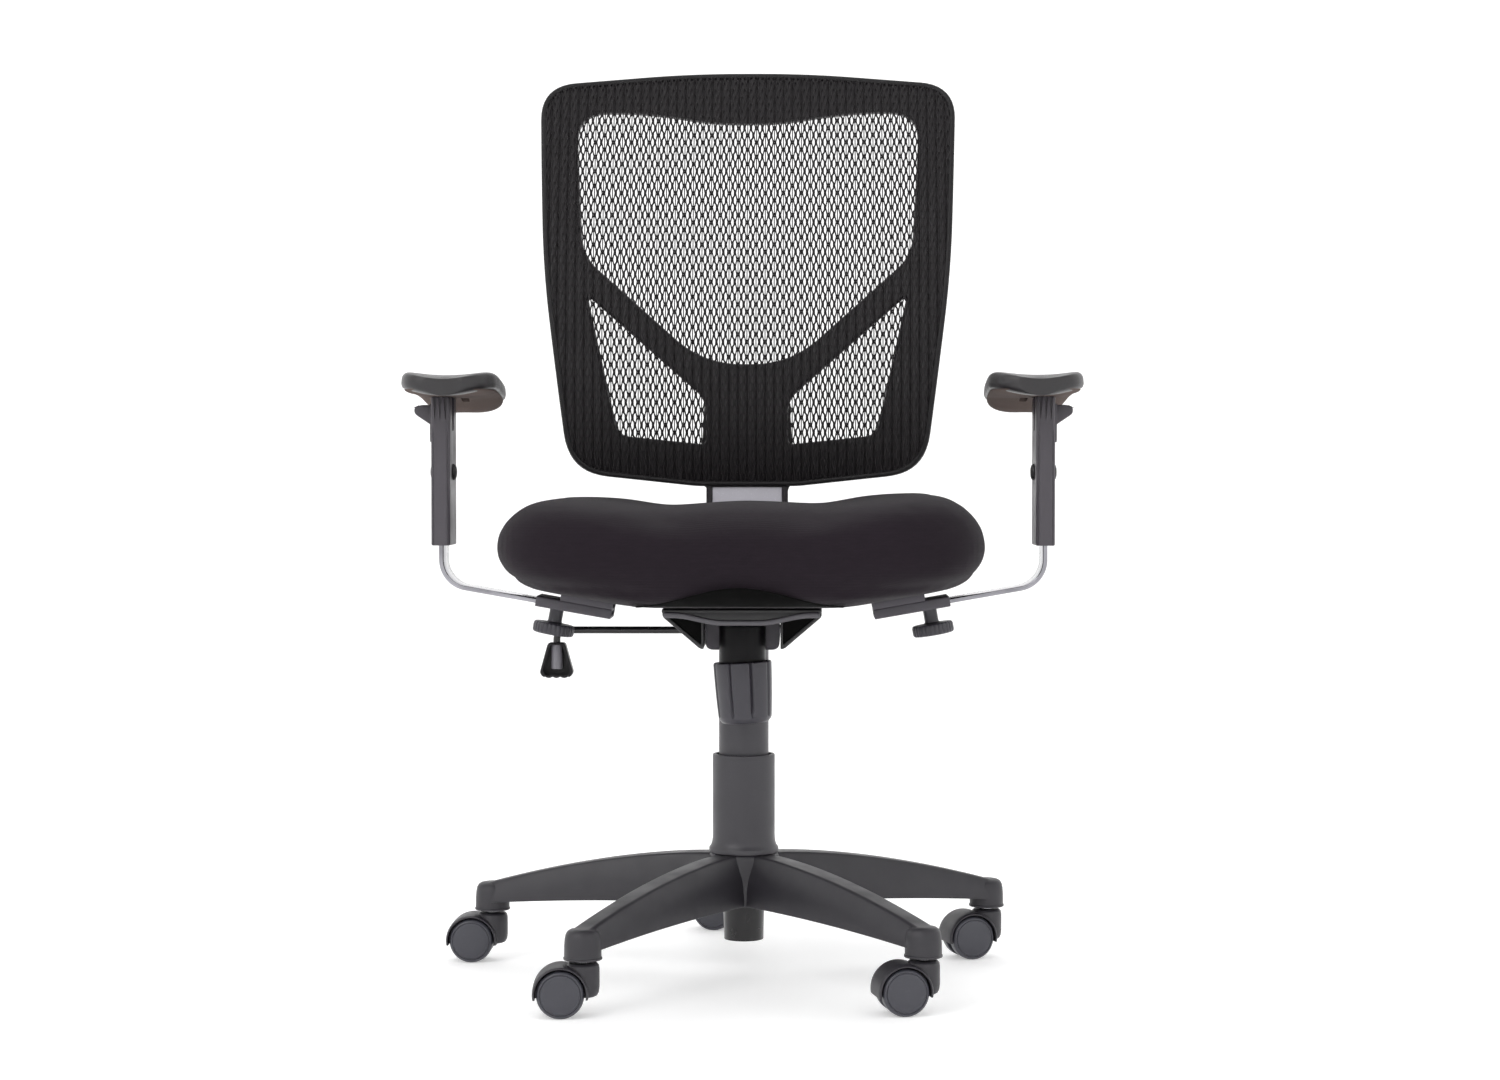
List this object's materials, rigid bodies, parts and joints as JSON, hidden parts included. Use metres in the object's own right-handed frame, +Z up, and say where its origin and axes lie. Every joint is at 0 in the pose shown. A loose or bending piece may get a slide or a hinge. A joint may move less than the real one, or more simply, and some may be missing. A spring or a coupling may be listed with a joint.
{
  "type": "swivel office chair",
  "caption": "Swivel office chair with a mesh back, padded seat, height and width adjustable arms, gas lift and star base on twin-wheel casters.",
  "frame": {"origin": "on the floor, under the middle of the chair's bounding box; the column's axis is 30 mm in front of it", "axes": "+Z up, the sitter faces -Y, +X is the sitter's left"},
  "size_m": [0.7414, 0.61, 1.051],
  "materials": {
    "nylon": "fine moulded grain, satin",
    "column_steel": "black satin",
    "bush_plastic": "matt",
    "bright_steel": "bare ground steel",
    "cover_plastic": "satin moulded",
    "wheel_plastic": "satin moulded",
    "stamped_steel": "black powder coat",
    "knob_plastic": "satin moulded",
    "shell_plastic": "fine grain, matt",
    "seat_fabric": "fine black knit",
    "grey_steel": "grey, glossy",
    "mesh_fabric": "open black weave with lens-shaped eyelets",
    "chrome": "mirror bright",
    "arm_plastic": "fine grain, satin",
    "pad_underside": "fine grain, satin",
    "pad_foam": "soft self-skinned foam"
  },
  "bodies": {
    "base": {"star_base": "nylon", "column_tube": "column_steel", "guide_bush": "bush_plastic", "thrust_bearing": "bright_steel", "cover_lower": "cover_plastic", "caster_stem_1": "bright_steel", "caster_stem_2": "bright_steel", "caster_stem_3": "bright_steel", "caster_stem_4": "bright_steel", "caster_stem_5": "bright_steel"},
    "rod": {"piston_rod": "bright_steel"},
    "lift": {"pressure_tube": "bright_steel", "cover_upper": "cover_plastic", "tilt_housing": "stamped_steel", "spring_barrel": "stamped_steel", "tilt_spring": "bright_steel", "tilt_pivot_pin": "bright_steel"},
    "valve": {"valve_pin": "bright_steel"},
    "lever": {"lever_rod": "stamped_steel", "lever_paddle": "knob_plastic"},
    "tension": {"tension_knob": "knob_plastic", "tension_bolt": "bright_steel"},
    "seat": {"seat_plate": "stamped_steel", "seat_pan": "shell_plastic", "seat_cushion": "seat_fabric", "back_bar": "grey_steel", "arm_bracket_right": "stamped_steel", "arm_bracket_left": "stamped_steel"},
    "back": {"back_frame": "shell_plastic", "back_mesh": "mesh_fabric"},
    "arm_right": {"arm_strap_right": "chrome"},
    "post_right": {"arm_post_right": "arm_plastic", "post_bolt_right": "shell_plastic"},
    "trigger_right": {"height_trigger_right": "arm_plastic"},
    "pad_right": {"pad_shell_right": "pad_underside", "pad_top_right": "pad_foam"},
    "clamp_right": {"width_knob_right": "knob_plastic"},
    "arm_left": {"arm_strap_left": "chrome"},
    "post_left": {"arm_post_left": "arm_plastic", "post_bolt_left": "shell_plastic"},
    "trigger_left": {"height_trigger_left": "arm_plastic"},
    "pad_left": {"pad_shell_left": "pad_underside", "pad_top_left": "pad_foam"},
    "clamp_left": {"width_knob_left": "knob_plastic"},
    "caster_1": {"caster_hood_1": "nylon"},
    "wheels_1": {"wheel_a_1": "wheel_plastic", "wheel_b_1": "wheel_plastic"},
    "caster_2": {"caster_hood_2": "nylon"},
    "wheels_2": {"wheel_a_2": "wheel_plastic", "wheel_b_2": "wheel_plastic"},
    "caster_3": {"caster_hood_3": "nylon"},
    "wheels_3": {"wheel_a_3": "wheel_plastic", "wheel_b_3": "wheel_plastic"},
    "caster_4": {"caster_hood_4": "nylon"},
    "wheels_4": {"wheel_a_4": "wheel_plastic", "wheel_b_4": "wheel_plastic"},
    "caster_5": {"caster_hood_5": "nylon"},
    "wheels_5": {"wheel_a_5": "wheel_plastic", "wheel_b_5": "wheel_plastic"}
  },
  "joints": [
    {"name": "seat_swivel", "type": "hinge", "parent": "base", "child": "rod", "pos_m": [0, -0.03, 0.048], "axis": [0, 0, 1], "continuous": true},
    {"name": "gas_lift", "type": "slide", "parent": "rod", "child": "lift", "axis": [0, 0, 1], "range_m": [-0.1, 0], "stiffness_N_per_m": 800, "springref_m": 0.4},
    {"name": "valve_press", "type": "slide", "parent": "lift", "child": "valve", "axis": [0, 0, 1], "range_m": [-0.0045, 0]},
    {"name": "lever_lift", "type": "hinge", "parent": "lift", "child": "lever", "pos_m": [-0.039, -0.028, 0.387], "axis": [0, 1, 0], "range_deg": [0, 6], "stiffness_Nm_per_rad": 1, "springref_deg": -5.73},
    {"name": "tension_turn", "type": "hinge", "parent": "lift", "child": "tension", "pos_m": [0, -0.11, 0.357], "axis": [-0.0523, 0, 0.9986], "range_deg": [-720, 720]},
    {"name": "seat_tilt", "type": "hinge", "parent": "lift", "child": "seat", "pos_m": [0, -0.074, 0.391], "axis": [-1, 0, 0], "range_deg": [0, 10], "stiffness_Nm_per_rad": 60, "springref_deg": -34.38},
    {"name": "back_height", "type": "slide", "parent": "seat", "child": "back", "axis": [0, 0, 1], "range_m": [0, 0.06]},
    {"name": "arm_width_right", "type": "slide", "parent": "seat", "child": "arm_right", "axis": [-0.9848, 0, 0.1736], "range_m": [-0.03, 0.02]},
    {"name": "arm_height_right", "type": "slide", "parent": "arm_right", "child": "post_right", "axis": [0, 0, 1], "range_m": [0, 0.06]},
    {"name": "trigger_lift_right", "type": "slide", "parent": "post_right", "child": "trigger_right", "axis": [0, 0, 1], "range_m": [0, 0.005], "stiffness_N_per_m": 400, "springref_m": -0.002},
    {"name": "pad_turn_right", "type": "hinge", "parent": "post_right", "child": "pad_right", "pos_m": [-0.333, -0.07, 0.648], "axis": [0, 0, 1], "range_deg": [-15, 15]},
    {"name": "width_knob_turn_right", "type": "hinge", "parent": "seat", "child": "clamp_right", "pos_m": [-0.206, -0.07, 0.41912], "axis": [0.1736, 0, 0.9848], "range_deg": [0, 360]},
    {"name": "arm_width_left", "type": "slide", "parent": "seat", "child": "arm_left", "axis": [0.9848, 0, 0.1736], "range_m": [-0.03, 0.02]},
    {"name": "arm_height_left", "type": "slide", "parent": "arm_left", "child": "post_left", "axis": [0, 0, 1], "range_m": [0, 0.06]},
    {"name": "trigger_lift_left", "type": "slide", "parent": "post_left", "child": "trigger_left", "axis": [0, 0, 1], "range_m": [0, 0.005], "stiffness_N_per_m": 400, "springref_m": -0.002},
    {"name": "pad_turn_left", "type": "hinge", "parent": "post_left", "child": "pad_left", "pos_m": [0.333, -0.07, 0.648], "axis": [0, 0, 1], "range_deg": [-15, 15]},
    {"name": "width_knob_turn_left", "type": "hinge", "parent": "seat", "child": "clamp_left", "pos_m": [0.206, -0.07, 0.41912], "axis": [-0.1736, 0, 0.9848], "range_deg": [0, 360]},
    {"name": "caster_swivel_1", "type": "hinge", "parent": "base", "child": "caster_1", "pos_m": [-0.01844, 0.27144, 0.056], "axis": [0, 0, 1], "continuous": true},
    {"name": "wheel_roll_1", "type": "hinge", "parent": "caster_1", "child": "wheels_1", "pos_m": [-0.04121, 0.27464, 0.025], "axis": [0.1392, 0.9903, 0], "continuous": true},
    {"name": "caster_swivel_2", "type": "hinge", "parent": "base", "child": "caster_2", "pos_m": [-0.29238, 0.04561, 0.056], "axis": [0, 0, 1], "continuous": true},
    {"name": "wheel_roll_2", "type": "hinge", "parent": "caster_2", "child": "wheels_2", "pos_m": [-0.31538, 0.04561, 0.025], "axis": [0, 1, 0], "continuous": true},
    {"name": "caster_swivel_3", "type": "hinge", "parent": "base", "child": "caster_3", "pos_m": [-0.16226, -0.2847, 0.056], "axis": [0, 0, 1], "continuous": true},
    {"name": "wheel_roll_3", "type": "hinge", "parent": "caster_3", "child": "wheels_3", "pos_m": [-0.18523, -0.28591, 0.025], "axis": [-0.0523, 0.9986, 0], "continuous": true},
    {"name": "caster_swivel_4", "type": "hinge", "parent": "base", "child": "caster_4", "pos_m": [0.1921, -0.26303, 0.056], "axis": [0, 0, 1], "continuous": true},
    {"name": "wheel_roll_4", "type": "hinge", "parent": "caster_4", "child": "wheels_4", "pos_m": [0.1696, -0.26781, 0.025], "axis": [-0.2079, 0.9781, 0], "continuous": true},
    {"name": "caster_swivel_5", "type": "hinge", "parent": "base", "child": "caster_5", "pos_m": [0.28099, 0.08068, 0.056], "axis": [0, 0, 1], "continuous": true},
    {"name": "wheel_roll_5", "type": "hinge", "parent": "caster_5", "child": "wheels_5", "pos_m": [0.25899, 0.07396, 0.025], "axis": [-0.2924, 0.9563, 0], "continuous": true}
  ],
  "couplings": [
    {"joint": "valve_press", "follows": "lever_lift", "m_per_rad": -0.039}
  ]
}
